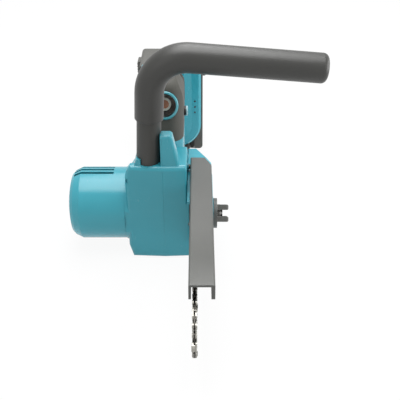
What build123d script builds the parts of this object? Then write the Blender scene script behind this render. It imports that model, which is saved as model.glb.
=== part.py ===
from build123d import *
import math
import os

# A cordless mini chainsaw, in millimetres.
# +Z is up, the guide bar points along -Y and the motor sticks out along -X.
# The origin is on the floor under the motor shaft, on the rear handle's mid-plane.

# Gear housing
WALL = 2.8
BODY_FRONT = -33.0
BODY_BACK = 47.0
BODY_LEFT = -32.0
BODY_RIGHT = 19.8
BODY_TOP = 94.6
BODY_EDGE = 4.0
RIDGE_EDGE = 1.2
FRONT_DRAFT = 3.0
CORNER_BACK = -10.0
POST_BACK = -25.0
LIP_X = 21.6
LIP_TOP = 58.0
LIP_BACK = -29.6
SHOULDER_Y = 2.0
BACK_TOP = 62.0

# Motor, its shaft along X
MOTOR_Z = 38.5
MOTOR_R = 32.2
MOTOR_ROOT = -34.0
MOTOR_END = -86.4
MOTOR_SKIN = 2.5
MOTOR_SHAFT_R = 3.0
STATOR_R = 28.6
STATOR_TEETH = 9
ROTOR_R = 13.0
AIR_GAP = 0.6
FAN_R = 24.0
FAN_BLADES = 11

# Gears between the motor and the chain sprocket
MODULE = 1.0
PINION_TEETH = 10
GEAR_TEETH = 28
PRESSURE_ANGLE = 25.0
ADDENDUM = 0.8
DEDENDUM = 1.15
BACKLASH = 0.12
SPROCKET_Z = 45.0
LID_END = BODY_RIGHT - WALL
GEAR_DISTANCE = MODULE * (PINION_TEETH + GEAR_TEETH) / 2
SPROCKET_Y = math.sqrt(GEAR_DISTANCE**2 - (SPROCKET_Z - MOTOR_Z) ** 2)

# Saw chain and guide bar
BAR_X = 27.3
BAR_THICK = 3.0
BAR_TAIL = -4.0
PITCH = 6.35
SPROCKET_TEETH = 7
SPROCKET_HALF = 3.0
DRIVE_LINKS = 37
RIVET_R = 1.1
LINK_R = 2.2
DRIVE_THICK = 1.1
STRAP_THICK = 0.85
TANG_DEPTH = 5.6
STRAP_DEPTH = 1.95
CUTTER_TOP = 3.4
NOSE_RIVET_R = 17.6
BELLY_R = 1400.0
RAIL_DROP = 2.4
GROOVE_DEPTH = 4.0
SPROCKET_RIVET_R = PITCH / (2 * math.sin(math.pi / (2 * SPROCKET_TEETH)))

# Bar clamp and chain tensioner
STUD_Y = -26.6
STUD_R = 4.0
SCREW_X = 23.2
SCREW_Z = 36.6
SCREW_R = 1.9
COVER_X = 41.5
COVER_FRONT = -46.0
COVER_BACK = 46.0
COVER_LOW = 18.0
COVER_TOP = 69.8
COVER_WALL = 2.5
CORNER_POINT = (31.0, 36.0, 70.0)
CORNER_LEAN = (1.02, 0.56, 0.83)
BEVEL_POINT = (37.0, 0.0, 70.0)
BEVEL_LEAN = (0.8, 0.0, 0.6)

# Chain guard, an inverted channel over the bar
GUARD_LEFT = 23.0
GUARD_RIGHT = 41.5
GUARD_SWAY = -0.4
GUARD_FRONT = -160.0
GUARD_BACK = 10.6
GUARD_TOP = 79.0
GUARD_SKIN = 1.8
GUARD_RIM = 2.6
GUARD_DEPTH = 14.4
HINGE_Y = 4.0
HINGE_Z = 73.6
HINGE_R = 2.0

# Front side handle
TUBE_R = 10.0
TUBE_WALL = 2.0
SLEEVE_R = 11.7
TUBE_BEND = 30.0
TUBE_Y = -20.0
TUBE_FOOT = (-13.6, 66.0)
TUBE_CORNER = (-7.2, 187.2)
TUBE_TIP = (126.6, 176.2)
SLEEVE_START_Z = 134.0

# Rear handle
GRIP_HALF = 16.5
GRIP_REAR_HALF = 14.5
GRIP_EDGE = 12.0
GRIP_SKIN = 2.0
HUMP_TILT = 18.0
HUMP_Y = 12.0
HUMP_BASE = 94.0
HUMP_CORNER = 7.0
ARCH_Z = 121.0
ARCH_RISE = 28.0
GRIP_END = 141.0

# Work lamp on the front of the rear handle
LAMP_Y = 21.6
LAMP_Z = 124.4
LAMP_R = 12.4
LAMP_DEPTH = 13.2
LAMP_RING_R = 5.7
LED_R = 3.8

# Battery foot and battery pack
FOOT_FRONT = 150.0
FOOT_BACK = 165.0
FOOT_HALF = 32.0
FOOT_LOW = 10.5
FOOT_TOP = 104.0
FOOT_BOWL = 28.0
FOOT_EDGE = 6.0
PANEL_INSET = 10.0
PANEL_SLOPE = 8.0
PANEL_RISE = 1.6
PANEL_TOP = 101.0
PACK_FRONT = 165.4
PACK_BACK = 218.0
PACK_HALF = 33.9
PACK_LOW = 0.8
PACK_TOP = 101.0
PACK_WALL = 1.9
PACK_SIDE = 1.2
PACK_SEAM = 200.0
RAIL_LOW = 20.0
RAIL_TOP = 92.0
CELL_R = 9.1
LATCH_Y = 193.0
LATCH_Z = 89.0
CELL_LENGTH = 65.0
CELL_STEP = 18.8
LOWER_BAR_HALF = 11.0
LOWER_BAR_TOP = 24.0

# Trigger and lock button
TRIGGER_Y = 60.0
TRIGGER_Z = 108.0
TRIGGER_HALF = 6.0
LOCK_Y = 46.0
LOCK_Z = 107.6
LOCK_R = 4.4
LOCK_CAP_X = 18.4
LOCK_OUT = 19.9

# Fits
RUNNING = 0.04
SLIP = 0.4
FINE = 0.05


def span_box(x0, x1, y0, y1, z0, z1):
    middle = Pos((x0 + x1) / 2, (y0 + y1) / 2, (z0 + z1) / 2)
    return middle * Box(x1 - x0, y1 - y0, z1 - z0)


def disc_x(radius, x0, x1, y, z):
    return Pos((x0 + x1) / 2, y, z) * Rot(0, 90, 0) * Cylinder(radius, x1 - x0)


def disc_y(radius, y0, y1, x, z):
    return Pos(x, (y0 + y1) / 2, z) * Rot(90, 0, 0) * Cylinder(radius, y1 - y0)


def ring_x(outer, inner, x0, x1, y, z):
    return disc_x(outer, x0, x1, y, z) - disc_x(inner, x0 - 1, x1 + 1, y, z)


def prism_x(points, x0, x1):
    face = make_face(Polyline(*points, close=True))
    return extrude(Plane.YZ.offset(x0) * face, x1 - x0)


def prism_y(points, y0, y1):
    face = make_face(Polyline(*points, close=True))
    return extrude(Plane.XZ.offset(-y0) * face, y0 - y1)


def group(solids):
    return Compound(children=[solid for item in solids for solid in item.solids()])


def save(name, shape):
    export_step(shape, f"parts/{name}.step")


# Outer body: each half runs a little past the joint plane and is cut there later


def front_at(x):
    return BODY_FRONT + abs(x) * math.tan(math.radians(FRONT_DRAFT))


def front_outline(side):
    past = 10.0
    if side > 0:
        return Polyline((-past, 0), (BODY_RIGHT, 0), (BODY_RIGHT, BODY_TOP), (-past, BODY_TOP), close=True)
    return Polyline(
        (-28.8, 0),
        (past, 0),
        (past, BODY_TOP),
        (-20.0, BODY_TOP),
        (-23.0, 90.0),
        (BODY_LEFT, 24.0),
        (BODY_LEFT, 12.0),
        close=True,
    )


def drafted(side, inset):
    reach, past, deep = 60.0, 20.0, 100.0
    rise = math.tan(math.radians(FRONT_DRAFT))
    start = BODY_FRONT + inset
    outline = Polyline(
        (-side * past, start - past * rise),
        (side * reach, start + reach * rise),
        (side * reach, deep),
        (-side * past, deep),
        close=True,
    )
    return extrude(Plane.XY * make_face(outline), 300, both=True)


def gear_block(side, inset):
    profile = Polyline(
        (BODY_FRONT - 9, 0),
        (BODY_BACK, 0),
        (BODY_BACK, BACK_TOP),
        (SHOULDER_Y, BODY_TOP),
        (BODY_FRONT - 9, BODY_TOP),
        close=True,
    )
    block = extrude(Plane.XZ * inner_face(front_outline(side), inset), 100, both=True)
    block = block & extrude(Plane.YZ * inner_face(profile, inset), 100, both=True)
    if inset:
        return block & drafted(side, inset)
    if side > 0:
        block = block + span_box(0, LIP_X, -60, LIP_BACK, 0, LIP_TOP)
    else:
        block = block + front_corner()
    block = fillet(front_rims(block & drafted(side, 0), side), BODY_EDGE)
    if side < 0:
        return block - span_box(BODY_LEFT - 1, BODY_LEFT + 2.2, -40, -26.5, 78, 82.5)
    ridge = block.edges().filter_by(Axis.Y).group_by(Axis.Z)[-1].sort_by(Axis.X)[-1]
    return fillet(ridge, RIDGE_EDGE)


# The front left corner stands out beside the motor's root
def front_corner():
    corner = ((BODY_LEFT, 20.0), (BODY_LEFT, 79.0), (-23.0, 92.4), (-20.0, BODY_TOP), (-10.0, 50.0))
    outer = ((BODY_LEFT, 60.0), (BODY_LEFT, 83.0), (-29.6, 91.0), (-27.0, BODY_TOP))
    post = outer + ((-15.0, BODY_TOP), (-10.0, 60.0))
    return prism_y(corner, -60, CORNER_BACK) + prism_y(post, -60, POST_BACK)


# The left half is rounded all round its front, the right half along its top and bottom
def front_rims(block, side):
    face = block.faces().filter_by(lambda f: f.normal_at().Y < -0.9).sort_by(Axis.Y)[0]
    rims = [edge for edge in face.edges() if edge.center().X * side > -5]
    if side < 0:
        return rims
    level = [edge for edge in rims if abs(edge.tangent_at(0.5).Z) < 0.1]
    lowest = min(level, key=lambda edge: edge.center().Z)
    return [lowest, max(level, key=lambda edge: edge.center().Z)]


def inner_face(line, inset):
    face = make_face(line)
    return offset(face, -inset, kind=Kind.INTERSECTION) if inset else face


def motor_collar(inset):
    return disc_x(MOTOR_R + 0.8 - inset, MOTOR_ROOT, -18.0, 0, MOTOR_Z) & drafted(-1, inset)


def hump_front(z):
    return HUMP_Y + (z - BODY_TOP) * math.tan(math.radians(HUMP_TILT))


def side_face(corners, rounds, inset):
    face = make_face(Polyline(*corners, close=True))
    for corner, radius in rounds:
        spot = Vector(*corners[corner], 0)
        vertex = face.vertices().sort_by(lambda v: (Vector(*v) - spot).length)[0]
        face = fillet(vertex, radius)
    return offset(face, -inset, kind=Kind.INTERSECTION) if inset else face


def rounded_slab(face, half, radius, upper):
    slab = extrude(Plane.YZ * face, half, both=True)
    outside = [edge for edge in slab.edges() if abs(abs(edge.center().X) - half) < 0.01]
    return fillet([edge for edge in outside if upper(edge.center())], radius)


def hump_column(inset):
    tilt = math.radians(HUMP_TILT)
    deep, tall = 110.0, 120.0
    face = RectangleRounded(2 * (GRIP_HALF - inset), deep, HUMP_CORNER - inset)
    plane = Plane(origin=(0, HUMP_Y, BODY_TOP), x_dir=(1, 0, 0), z_dir=(0, math.sin(tilt), math.cos(tilt)))
    return extrude(plane * Pos(0, deep / 2 + inset) * face, tall, both=True)


def hump(inset):
    low, brow = 60.0, 141.0
    corners = (
        (hump_front(low), low),
        (hump_front(brow), brow),
        (43.0, 146.5),
        (68.0, 136.0),
        (68.0, 103.6),
        (63.0, 104.0),
        (53.0, 92.0),
        (46.0, 58.0),
    )
    face = side_face(corners, ((1, 12), (2, 25), (5, 4), (6, 8)), inset)
    slab = rounded_slab(face, GRIP_HALF - inset, GRIP_EDGE - inset, lambda spot: spot.Z > 125)
    return slab & hump_column(inset) & hump_arch(inset)


def hump_arch(inset):
    half = GRIP_HALF - inset
    crown = Pos(0, ARCH_Z) * Ellipse(half, ARCH_RISE - inset)
    return extrude(Plane.XZ * (crown + Pos(0, ARCH_Z - 50) * Rectangle(2 * half, 100)), 200, both=True)


def hump_base():
    return hump(0) & span_box(-60, 60, -60, 60, 0, HUMP_BASE)


def grip_bar(inset):
    corners = ((40, 114), (40, 140), (66, 137), (158, 98), (158, 67), (86, 99.5), (60, 103))
    face = side_face(corners, ((2, 60), (5, 40)), inset)
    half = GRIP_REAR_HALF - inset
    return rounded_slab(face, half, GRIP_EDGE - 2 - inset, lambda spot: spot.Z > 170 - 0.57 * spot.Y)


def rear_grip(inset):
    return hump(inset) + grip_bar(inset)


def foot_face(inset):
    half = FOOT_HALF - inset
    low, top = FOOT_LOW + inset, FOOT_TOP - inset
    face = make_face(Polyline((-half, low), (half, low), (half, top), (-half, top), close=True))
    face = fillet(face.vertices().group_by(Axis.Y)[0], FOOT_BOWL - inset)
    return fillet(face.vertices().group_by(Axis.Y)[-1], max(FOOT_EDGE - inset, 1.6))


def battery_foot(inset):
    plane = Plane.XZ.offset(-(FOOT_FRONT + inset))
    foot = extrude(plane * foot_face(inset), -(FOOT_BACK - FOOT_FRONT - 2 * inset))
    if inset:
        return foot
    return chamfer(foot.edges().group_by(Axis.Y)[0], 2.4)


def panel_face(inset):
    half, low = FOOT_HALF - inset, FOOT_LOW + inset
    face = make_face(Polyline((-half, low), (half, low), (half, PANEL_TOP), (-half, PANEL_TOP), close=True))
    return fillet(face.vertices().group_by(Axis.Y)[0], FOOT_BOWL - inset)


# Shallow rise of the foot towards the handle, with sloping sides
def foot_panel():
    seat = Plane.XZ.offset(-FOOT_FRONT) * panel_face(PANEL_INSET)
    crown = Plane.XZ.offset(-(FOOT_FRONT - PANEL_RISE)) * panel_face(PANEL_INSET + PANEL_SLOPE)
    panel = loft([seat, crown], ruled=True) + extrude(seat, -1.0)
    return panel - rear_grip(GRIP_SKIN + WALL) - lower_bar(WALL)


def lower_bar(inset):
    half = LOWER_BAR_HALF - inset
    bar = span_box(-half, half, 42, FOOT_FRONT + 5, FOOT_LOW + inset, LOWER_BAR_TOP - inset)
    if inset:
        return bar
    return fillet(bar.edges().filter_by(Axis.Y), 4.0)


def tube_boss():
    foot = Vector(TUBE_FOOT[0], TUBE_Y, TUBE_FOOT[1] - 4)
    lean = tube_lean()
    boss = Plane(origin=foot, z_dir=lean) * Pos(0, 0, 16) * Cylinder(TUBE_R + 1.8, 32)
    rib = prism_y(((-21.8, 100), (-24.6, 90.5), (-18, 88), (-18, 100)), -29, -11)
    gusset = prism_y(((-1.4, 90), (-1.4, 122), (8.2, 122), (14.0, 95), (14.0, 90)), -29.6, -20)
    gusset = fillet(gusset.edges().filter_by(Axis.Y).group_by(Axis.Z)[-1].sort_by(Axis.X)[-1], 3.0)
    gusset = fillet(gusset.faces().sort_by(Axis.Y)[0].edges().group_by(Axis.Z)[-1], 2.5)
    return boss + rib + gusset


def tube_lean():
    return Vector(TUBE_CORNER[0] - TUBE_FOOT[0], 0, TUBE_CORNER[1] - TUBE_FOOT[1]).normalized()


def lamp_plane(depth):
    tilt = math.radians(HUMP_TILT)
    out = Vector(0, -math.cos(tilt), math.sin(tilt))
    return Plane(origin=Vector(0, LAMP_Y, LAMP_Z) - out * depth, x_dir=(1, 0, 0), z_dir=out)


def lamp_disc(radius, back, front):
    return lamp_plane(back) * Pos(0, 0, (back - front) / 2) * Cylinder(radius, back - front)


def screw_places():
    gear_case_screws = ((40, 10, BODY_RIGHT), (-25, 12, BODY_RIGHT))
    lower_bar_screws = ((70, 16.4, LOWER_BAR_HALF), (130, 16.4, LOWER_BAR_HALF))
    foot_screws = ((160.4, 41, FOOT_HALF), (157, 92, FOOT_HALF))
    return gear_case_screws + lower_bar_screws + foot_screws


def battery_rails():
    rails = []
    for side in (-1, 1):
        stem = span_box(20, 24, FOOT_BACK - 1, 171, RAIL_LOW, RAIL_TOP)
        lip = span_box(24, 28, 168, 171, RAIL_LOW, RAIL_TOP)
        rails.append((stem + lip) if side > 0 else mirror(stem + lip, Plane.YZ))
    return rails


def body_shell(side):
    outer = gear_block(side, 0) + motor_collar(0) + rear_grip(GRIP_SKIN) + hump_base()
    outer = outer + battery_foot(0) + lower_bar(0)
    room = gear_block(side, WALL) + motor_collar(MOTOR_SKIN + 0.8) + rear_grip(GRIP_SKIN + WALL)
    room = room + battery_foot(WALL) + lower_bar(WALL)
    bosses = [disc_x(4, -40, 40, y, z) & outer for y, z, _ in screw_places()]
    shell = outer - room + bosses + tube_boss() + foot_panel() + battery_rails()
    if side < 0:
        return shell
    shell = shell + tension_lug() + hinge_boss()
    return shell - disc_y(2.6, BODY_FRONT - 1, LIP_BACK, SCREW_X, SCREW_Z)


def tension_lug():
    y0, y1 = BODY_FRONT + 4, BODY_FRONT + 8
    lug = span_box(BODY_RIGHT - 1, SCREW_X + 2.1, y0, y1, SCREW_Z - 3.4, SCREW_Z + 3.4)
    return lug - disc_y(SCREW_R + FINE, -60, 60, SCREW_X, SCREW_Z)


def hinge_boss():
    seat = disc_x(6, 6, BODY_RIGHT - 1, HINGE_Y, HINGE_Z)
    return seat + disc_x(3.4, 6, BODY_RIGHT + 1.2, HINGE_Y, HINGE_Z)


def body_openings():
    holes = [lamp_disc(LAMP_R + FINE, 14, -6)]
    lean = Plane(origin=Vector(TUBE_FOOT[0], TUBE_Y, TUBE_FOOT[1]), z_dir=tube_lean())
    holes.append(lean * Pos(0, 0, 40) * Cylinder(TUBE_R + FINE, 80))
    holes.append(disc_x(12.6, 10, 30, SPROCKET_Y, SPROCKET_Z))
    holes.append(disc_x(STUD_R + FINE, 10, 30, STUD_Y, SPROCKET_Z))
    holes.append(disc_x(HINGE_R + FINE, 9, 30, HINGE_Y, HINGE_Z))
    for y, z, face in screw_places():
        holes.append(disc_x(1.55, -12, 40, y, z))
        holes.append(disc_x(3.1, face - 3, 50, y, z))
    holes.append(span_box(-6.6, 6.6, 54, 86, 90, 112))
    holes.append(disc_x(1.55, -13, 13, TRIGGER_Y, TRIGGER_Z))
    holes.append(lock_hole())
    holes.append(span_box(-13, 13, 160, 170, 52, 87))
    return holes


def lock_hole():
    return disc_x(LOCK_R + 0.3, 0, 30, LOCK_Y, LOCK_Z)


def housings():
    for name, side in (("left_housing", -1), ("right_housing", 1)):
        shell = body_shell(side)
        for hole in body_openings():
            shell = shell - hole
        half = span_box(0, 120, -300, 300, -10, 300)
        save(name, largest(shell & (half if side > 0 else mirror(half, Plane.YZ))))


def largest(shape):
    return sorted(shape.solids(), key=lambda solid: solid.volume)[-1]


def housing_screws():
    screws = []
    for y, z, face in screw_places():
        head = disc_x(3.0, face - 3, face - 0.6, y, z)
        shank = disc_x(1.5, -10, face - 2, y, z)
        socket = disc_x(1.3, face - 1.8, face, y, z)
        screws.append(head + shank - socket)
    save("housing_screws", group(screws))


def grip_overmould():
    skin = rear_grip(0) - rear_grip(GRIP_SKIN) - battery_foot(0)
    skin = skin - span_box(-50, 50, -50, 60, 0, HUMP_BASE) - span_box(-50, 50, GRIP_END, 200, 0, 200)
    skin = skin - lamp_disc(LAMP_R + FINE, 14, -6) - span_box(-7, 7, 53, 87, 85, 106) - lock_hole()
    save("grip_overmould", largest(skin))


# Motor


def motor_profile(inset):
    reach = MOTOR_R - inset
    end = MOTOR_END + inset
    root = MOTOR_ROOT + (1 if inset else 0)
    sag, rim = 4.0, reach - 5.4
    dome_r = (rim**2 + sag**2) / (2 * sag)
    crown = end + dome_r - math.sqrt(dome_r**2 - (rim / 2) ** 2)
    points = ((root, 0), (root, reach), (-74, reach), (end + 6.6, reach - 2.8), (end + sag, rim), (end, 0))
    edges = [Line(points[i], points[i + 1]) for i in range(4)]
    edges.append(ThreePointArc(points[4], (crown, rim / 2), points[5]))
    face = make_face(edges + [Line(points[5], points[0])])
    return Pos(0, 0, MOTOR_Z) * revolve(Plane.XY * face, Axis.X)


def vent_angles():
    step = 10.6
    return [87.0 + step * number for number in range(6)] + [213.5 + step * number for number in range(6)]


def motor_cover():
    cover = motor_profile(0) - motor_profile(MOTOR_SKIN)
    seat = disc_x(11.5, MOTOR_END + 2, -74, 0, MOTOR_Z) & motor_profile(0)
    cover = cover + seat - disc_x(8.5, -80, -70, 0, MOTOR_Z)
    for angle in vent_angles():
        slot = span_box(-80, -45, -1.6, 1.6, 22, 40)
        cover = cover - Pos(0, 0, MOTOR_Z) * Rot(90 - angle, 0, 0) * slot
    save("motor_cover", largest(cover))


def motor_tooth(number):
    return Pos(0, 0, MOTOR_Z) * Rot(360 / STATOR_TEETH * number, 0, 0)


def motor_stator():
    back = ring_x(STATOR_R, STATOR_R - 4, -68, -46, 0, MOTOR_Z)
    core = back
    for number in range(STATOR_TEETH):
        pole = span_box(-68, -46, -2.2, 2.2, ROTOR_R + 1.2, STATOR_R - 3)
        shoe = ring_x(ROTOR_R + AIR_GAP + 1.8, ROTOR_R + AIR_GAP, -68, -46, 0, 0)
        shoe = shoe & span_box(-70, -44, -4.0, 4.0, 0, 40)
        core = core + motor_tooth(number) * (pole + shoe)
    save("stator_core", core)
    coils = []
    for number in range(STATOR_TEETH):
        coil = span_box(-72, -42, -4.4, 4.4, ROTOR_R + 3.4, STATOR_R - 5.2)
        coil = fillet(coil.edges().filter_by(Axis.Z), 3.0)
        coils.append(motor_tooth(number) * (coil - span_box(-68.2, -45.8, -2.3, 2.3, 10, 30)))
    save("stator_windings", group(coils))


def motor_rotor():
    bore = disc_x(MOTOR_SHAFT_R, -90, 0, 0, MOTOR_Z)
    save("rotor_core", ring_x(ROTOR_R, MOTOR_SHAFT_R, -70, -44, 0, MOTOR_Z))
    save("motor_shaft", disc_x(MOTOR_SHAFT_R, -80, 9, 0, MOTOR_Z))
    fan = disc_x(7, -40, -32, 0, MOTOR_Z) + disc_x(FAN_R, -34, -32.6, 0, MOTOR_Z)
    for number in range(FAN_BLADES):
        blade = span_box(-40, -33, -0.7, 0.7, 5, FAN_R)
        fan = fan + Pos(0, 0, MOTOR_Z) * Rot(360 / FAN_BLADES * number, 0, 0) * blade
    save("cooling_fan", fan - bore)
    bearings = [bearing(8.5, MOTOR_SHAFT_R, x, x + 6, 0, MOTOR_Z) for x in (-80, -30)]
    save("motor_bearings", group(bearings))


def bearing(outer, inner, x0, x1, y, z):
    body = ring_x(outer, inner + RUNNING, x0, x1, y, z)
    shield = (outer + inner) / 2
    groove = ring_x(shield + 1.4, shield - 1.4, x1 - 0.5, x1 + 1, y, z)
    groove = groove + ring_x(shield + 1.4, shield - 1.4, x0 - 1, x0 + 0.5, y, z)
    return body - groove


# Gears


def involute(base, radius):
    return math.sqrt((radius / base) ** 2 - 1) - math.acos(base / radius)


def gear_outline(teeth, turn):
    pitch_r = MODULE * teeth / 2
    base = pitch_r * math.cos(math.radians(PRESSURE_ANGLE))
    root = pitch_r - DEDENDUM * MODULE
    tip = pitch_r + ADDENDUM * MODULE
    half = (math.pi * MODULE / 2 - BACKLASH) / (2 * pitch_r)
    swell = half + involute(base, pitch_r)

    def flank(radius, tooth, side):
        lean = swell - (involute(base, radius) if radius > base else 0)
        angle = math.radians(turn) + 2 * math.pi * tooth / teeth + side * lean
        return (radius * math.cos(angle), radius * math.sin(angle))

    start = max(base, root)
    edges = []
    for tooth in range(teeth):
        low, mid, top = (flank(radius, tooth, -1) for radius in (start, (start + tip) / 2, tip))
        low2, mid2, top2 = (flank(radius, tooth, 1) for radius in (start, (start + tip) / 2, tip))
        edges.append(ThreePointArc(low, mid, top))
        edges.append(Line(top, top2))
        edges.append(ThreePointArc(top2, mid2, low2))
        foot, foot2 = flank(root, tooth, 1), flank(root, tooth + 1, -1)
        if root < base:
            edges.append(Line(low2, foot))
            edges.append(Line(foot, foot2))
            edges.append(Line(foot2, flank(start, tooth + 1, -1)))
        else:
            edges.append(Line(low2, flank(start, tooth + 1, -1)))
    return make_face(edges)


def mesh_angle():
    return math.degrees(math.atan2(MOTOR_Z - SPROCKET_Z, -SPROCKET_Y))


def gears():
    line = mesh_angle()
    face = gear_outline(GEAR_TEETH, line)
    gear = extrude(Plane.YZ.offset(-2) * face, 10)
    gear = Pos(0, SPROCKET_Y, SPROCKET_Z) * gear + disc_x(9, -6, 9, SPROCKET_Y, SPROCKET_Z)
    save("drive_gear", gear - disc_x(6, -10, 20, SPROCKET_Y, SPROCKET_Z))
    face = gear_outline(PINION_TEETH, line + 180 + 180 / PINION_TEETH)
    pinion = Pos(0, 0, MOTOR_Z) * extrude(Plane.YZ.offset(-3) * face, 12)
    save("pinion", pinion - disc_x(MOTOR_SHAFT_R, -10, 20, 0, MOTOR_Z))


def case_lobes(big, small, x0, x1):
    return disc_x(big, x0, x1, SPROCKET_Y, SPROCKET_Z) + disc_x(small, x0, x1, 0, MOTOR_Z)


def gear_case():
    case = case_lobes(20, 13, -23, 12) - case_lobes(17, 10, -12, 13)
    case = case + disc_x(11, -30, -20, 0, MOTOR_Z) + disc_x(12, -23, -8, SPROCKET_Y, SPROCKET_Z)
    case = case - disc_x(8.5, -31, -24, 0, MOTOR_Z) - disc_x(6, -25, 0, 0, MOTOR_Z)
    case = case - disc_x(8, -17, -7, SPROCKET_Y, SPROCKET_Z) - disc_x(5, -21, 0, SPROCKET_Y, SPROCKET_Z)
    save("gear_case", largest(case))
    lid = case_lobes(20, 13, 12, LID_END) - disc_x(12, 11, 20, SPROCKET_Y, SPROCKET_Z)
    save("gear_case_lid", lid)
    small = bearing(8, 4, -17, -12, SPROCKET_Y, SPROCKET_Z)
    large = bearing(12, 6, 12, LID_END, SPROCKET_Y, SPROCKET_Z)
    save("output_bearings", group([small, large]))


def output_shaft():
    shaft = disc_x(4, -19, -11, SPROCKET_Y, SPROCKET_Z) + disc_x(6, -11, 20, SPROCKET_Y, SPROCKET_Z)
    shaft = shaft + disc_x(5, 20, 34, SPROCKET_Y, SPROCKET_Z)
    washer = BAR_X + SPROCKET_HALF
    groove = washer + 1.4
    save("output_shaft", shaft - ring_x(6, 4.2, groove, groove + 1, SPROCKET_Y, SPROCKET_Z))
    clip = ring_x(8, 4.2, groove + FINE, groove + 1 - FINE, SPROCKET_Y, SPROCKET_Z)
    gap = span_box(30, 34, SPROCKET_Y - 2.5, SPROCKET_Y + 2.5, SPROCKET_Z - 12, SPROCKET_Z - 3)
    save("sprocket_clip", clip - gap)
    save("sprocket_washer", ring_x(9, 5, washer, washer + 1.2, SPROCKET_Y, SPROCKET_Z))


# Saw chain


# The line through the chain's rivets: sprocket, top belly, nose and bottom belly
class ChainPath:
    def __init__(self, length):
        self.length = length
        near, far = BELLY_R - SPROCKET_RIVET_R, BELLY_R - NOSE_RIVET_R
        back = (near**2 - far**2 + length**2) / (2 * length)
        drop = math.sqrt(near**2 - back**2)
        self.belly = (-back, -drop)
        self.sprocket_top = math.atan2(drop, back)
        self.nose_top = math.atan2(drop, back - length)
        self.runs = (
            SPROCKET_RIVET_R * self.sprocket_top,
            BELLY_R * (self.nose_top - self.sprocket_top),
            NOSE_RIVET_R * 2 * (math.pi - self.nose_top),
        )
        self.total = 2 * self.runs[0] + 2 * self.runs[1] + self.runs[2]

    def point(self, run):
        if run > self.total / 2:
            y, z = self.point(self.total - run)
            return (y, -z)
        if run < self.runs[0]:
            return turn_point((0, 0), SPROCKET_RIVET_R, run / SPROCKET_RIVET_R)
        run -= self.runs[0]
        if run < self.runs[1]:
            return turn_point(self.belly, BELLY_R, self.sprocket_top + run / BELLY_R)
        run -= self.runs[1]
        return turn_point((-self.length, 0), NOSE_RIVET_R, self.nose_top + run / NOSE_RIVET_R)


def turn_point(centre, radius, angle):
    return (centre[0] + radius * math.cos(angle), centre[1] + radius * math.sin(angle))


def next_rivet(path, run):
    low, high = run + PITCH, run + PITCH * 1.2
    for _ in range(50):
        middle = (low + high) / 2
        if math.dist(path.point(run), path.point(middle)) < PITCH:
            low = middle
        else:
            high = middle
    return (low + high) / 2


def rivet_runs(path):
    runs = [SPROCKET_RIVET_R * math.pi / (2 * SPROCKET_TEETH)]
    for _ in range(2 * DRIVE_LINKS - 1):
        runs.append(next_rivet(path, runs[-1]))
    return runs


def chain_path():
    low, high = 170.0, 200.0
    for _ in range(40):
        middle = (low + high) / 2
        path = ChainPath(middle)
        spare = path.total - rivet_runs(path)[-1] - SPROCKET_RIVET_R * math.pi / (2 * SPROCKET_TEETH)
        if spare < 0:
            low = middle
        else:
            high = middle
    return ChainPath((low + high) / 2)


def link_places(path):
    points = [path.point(run) for run in rivet_runs(path)]
    places = []
    for first, second in zip(points, points[1:] + points[:1]):
        centre = ((first[0] + second[0]) / 2 + SPROCKET_Y, (first[1] + second[1]) / 2 + SPROCKET_Z)
        along = (0, first[0] - second[0], first[1] - second[1])
        places.append(Plane(origin=(BAR_X, *centre), x_dir=along, z_dir=(1, 0, 0)))
    return places[0::2], places[1::2]


def flat_link(x0, x1, depth):
    reach = PITCH / 2
    face = make_face([
        Line((-reach, LINK_R), (reach, LINK_R)),
        ThreePointArc((reach, LINK_R), (reach + LINK_R, 0), (reach, -LINK_R)),
        Line((reach, -LINK_R), (-reach, -LINK_R)),
        ThreePointArc((-reach, -LINK_R), (-reach - LINK_R, 0), (-reach, LINK_R)),
    ])
    plate = extrude(Pos(0, 0, x0) * face, x1 - x0)
    return plate - Pos(0, -depth - 5, 0) * Box(40, 10, 40)


def drive_link():
    half = DRIVE_THICK / 2
    link = flat_link(-half, half, LINK_R)
    tang = Polyline((-3.0, -1.0), (3.0, -1.0), (1.6, -TANG_DEPTH), (-1.0, -TANG_DEPTH), close=True)
    link = link + extrude(Pos(0, 0, -half) * make_face(tang), DRIVE_THICK)
    for side in (-1, 1):
        link = link - Pos(side * PITCH / 2, 0, 0) * Cylinder(RIVET_R + FINE, 10)
    return link


def tie_strap(side):
    inner = side * (DRIVE_THICK / 2 + FINE)
    outer = inner + side * STRAP_THICK
    return flat_link(min(inner, outer), max(inner, outer), STRAP_DEPTH)


def cutter_plate(side):
    inner = side * (DRIVE_THICK / 2 + FINE)
    blade = Polyline((-0.9, 1.0), (-0.4, CUTTER_TOP), (4.6, CUTTER_TOP - 0.7), (5.0, 1.0), close=True)
    gauge = Polyline((-5.0, 0.5), (-4.4, 2.6), (-2.8, 2.8), (-2.4, 0.5), close=True)
    wall = extrude(Pos(0, 0, inner) * make_face(blade), side * STRAP_THICK)
    wall = wall + extrude(Pos(0, 0, inner) * make_face(gauge), side * STRAP_THICK)
    edge = make_face(Polyline((-0.6, CUTTER_TOP - 0.8), (-0.4, CUTTER_TOP), (4.6, CUTTER_TOP - 0.7),
                              (4.7, CUTTER_TOP - 1.2), close=True))
    top = extrude(Pos(0, 0, -side * 0.5) * edge, side * 2.6)
    return wall + top


def outer_link(cutter_side):
    link = tie_strap(1) + tie_strap(-1)
    reach = DRIVE_THICK / 2 + FINE + STRAP_THICK
    for side in (-1, 1):
        link = link + Pos(side * PITCH / 2, 0, 0) * Cylinder(RIVET_R, 2 * reach)
        for face in (-1, 1):
            link = link + Pos(side * PITCH / 2, 0, face * (reach + 0.15)) * Cylinder(1.6, 0.3)
    if cutter_side:
        link = link + cutter_plate(cutter_side)
    return link


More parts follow.
